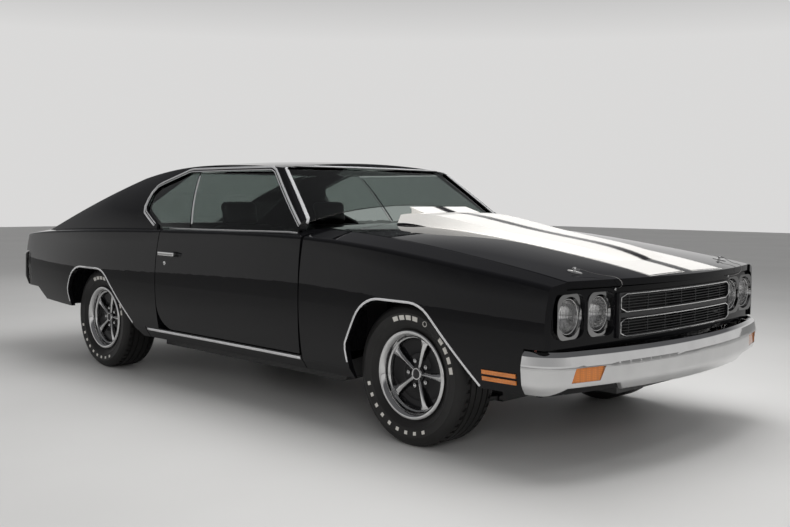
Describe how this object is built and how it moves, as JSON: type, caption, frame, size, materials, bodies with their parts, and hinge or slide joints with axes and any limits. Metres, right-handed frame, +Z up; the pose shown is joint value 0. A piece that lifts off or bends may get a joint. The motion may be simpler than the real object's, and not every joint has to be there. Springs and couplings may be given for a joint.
{
  "type": "two-door hardtop muscle car",
  "caption": "Two-door hardtop coupe on four wheels, with opening doors, bonnet and boot lid, steered front wheels, raised bonnet centre and a full cabin.",
  "frame": {"origin": "on the ground, under the centre of the overall length and width", "axes": "+X forward along the car, +Y to the car's left, +Z up"},
  "size_m": [5.008, 1.9118, 1.3622],
  "materials": {
    "body_paint": "gloss black",
    "bonnet_paint": "gloss black with two white stripes",
    "chrome": "bright plated",
    "window_glass": "clear, faintly tinted",
    "lamp_glass": "ribbed clear",
    "amber_lens": "clear amber",
    "red_lens": "clear red",
    "grille_black": "satin black",
    "chassis_black": "satin black underseal",
    "wheel_grey": "metallic grey with bright ring",
    "tyre": "black rubber",
    "cast_iron": "painted block",
    "steel": "bare steel",
    "vinyl_black": "black grained vinyl",
    "trim_black": "black moulded trim"
  },
  "bodies": {
    "root": {"frame": "chassis_black", "floor_pan": "chassis_black", "cowl": "body_paint", "sills": "body_paint", "tail_panel": "body_paint", "roof": "body_paint", "windscreen": "window_glass", "rear_glass": "window_glass", "nose_panel": "grille_black", "lamp_bezels": "chrome", "headlamps": "lamp_glass", "grille": "grille_black", "front_bumper": "chrome", "parking_lamps": "amber_lens", "rear_bumper": "chrome", "tail_lamps": "red_lens", "front_suspension": "chassis_black", "rear_axle": "chassis_black", "engine": "cast_iron", "radiator": "chassis_black", "exhaust": "steel", "fuel_tank": "steel", "dashboard": "trim_black", "front_seats": "vinyl_black", "rear_seat": "vinyl_black", "steering_wheel": "trim_black", "fender_right": "body_paint", "fender_left": "body_paint", "quarter_right": "body_paint", "quarter_left": "body_paint"},
    "bonnet": {"hood": "bonnet_paint"},
    "boot": {"boot_lid": "bonnet_paint"},
    "door_right": {"door_right": "body_paint", "door_glass_right": "window_glass"},
    "door_left": {"door_left": "body_paint", "door_glass_left": "window_glass"},
    "steer_right": {"knuckle_right": "cast_iron"},
    "steer_left": {"knuckle_left": "cast_iron"},
    "wheel_front_right": {"wheel_front_right": "wheel_grey", "tyre_front_right": "tyre"},
    "wheel_front_left": {"wheel_front_left": "wheel_grey", "tyre_front_left": "tyre"},
    "wheel_rear_right": {"wheel_rear_right": "wheel_grey", "tyre_rear_right": "tyre"},
    "wheel_rear_left": {"wheel_rear_left": "wheel_grey", "tyre_rear_left": "tyre"}
  },
  "joints": [
    {"name": "steering_right", "type": "hinge", "parent": "root", "child": "steer_right", "pos_m": [1.5275, -0.655, 0.33], "axis": [0, 0, 1], "range_deg": [-30, 30]},
    {"name": "spin_front_right", "type": "hinge", "parent": "steer_right", "child": "wheel_front_right", "pos_m": [1.5275, -0.762, 0.33], "axis": [0, 1, 0], "continuous": true},
    {"name": "spin_rear_right", "type": "hinge", "parent": "root", "child": "wheel_rear_right", "pos_m": [-1.3175, -0.762, 0.33], "axis": [0, 1, 0], "continuous": true},
    {"name": "door_right_hinge", "type": "hinge", "parent": "root", "child": "door_right", "pos_m": [0.88, -0.878, 0.61], "axis": [0, 0, 1], "range_deg": [0, 60]},
    {"name": "steering_left", "type": "hinge", "parent": "root", "child": "steer_left", "pos_m": [1.5275, 0.655, 0.33], "axis": [0, 0, 1], "range_deg": [-30, 30]},
    {"name": "spin_front_left", "type": "hinge", "parent": "steer_left", "child": "wheel_front_left", "pos_m": [1.5275, 0.762, 0.33], "axis": [0, 1, 0], "continuous": true},
    {"name": "spin_rear_left", "type": "hinge", "parent": "root", "child": "wheel_rear_left", "pos_m": [-1.3175, 0.762, 0.33], "axis": [0, 1, 0], "continuous": true},
    {"name": "door_left_hinge", "type": "hinge", "parent": "root", "child": "door_left", "pos_m": [0.88, 0.878, 0.61], "axis": [0, 0, -1], "range_deg": [0, 60]},
    {"name": "bonnet_hinge", "type": "hinge", "parent": "root", "child": "bonnet", "pos_m": [0.8975, 0, 1.001], "axis": [0, -1, 0], "range_deg": [0, 50]},
    {"name": "boot_hinge", "type": "hinge", "parent": "root", "child": "boot", "pos_m": [-1.6965, 0, 0.943], "axis": [0, 1, 0], "range_deg": [0, 65]}
  ],
  "couplings": [
    {"joint": "steering_left", "follows": "steering_right", "ratio": 1}
  ]
}
